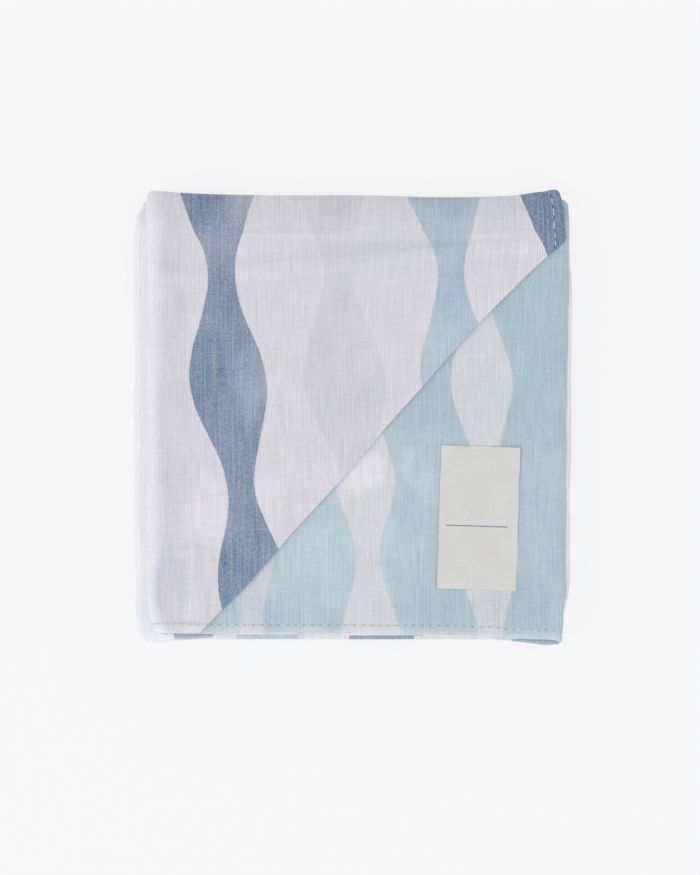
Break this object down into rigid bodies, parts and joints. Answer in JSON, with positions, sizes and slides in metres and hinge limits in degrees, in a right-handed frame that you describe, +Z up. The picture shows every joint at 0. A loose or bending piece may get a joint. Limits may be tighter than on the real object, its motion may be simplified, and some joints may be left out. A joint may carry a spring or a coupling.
{
  "type": "folded cotton handkerchief",
  "caption": "Square printed cotton handkerchief folded flat in thirds both ways, with one corner of the top layer turned under and a plain label on the layer it uncovers.",
  "frame": {"origin": "centre of the footprint, on the surface that the folded handkerchief rests on", "axes": "+Z up, +Y from the free hem of the top packet towards the upper fold, +X to the right of someone who looks down with that fold away from them"},
  "size_m": [0.1464, 0.1522, 0.0127],
  "materials": {
    "cloth": "matt printed cotton in white, pale aqua and soft blue",
    "label": "matt cream label, bare"
  },
  "bodies": {
    "root": {"folded_cloth": "cloth", "label": "label"}
  },
  "joints": []
}
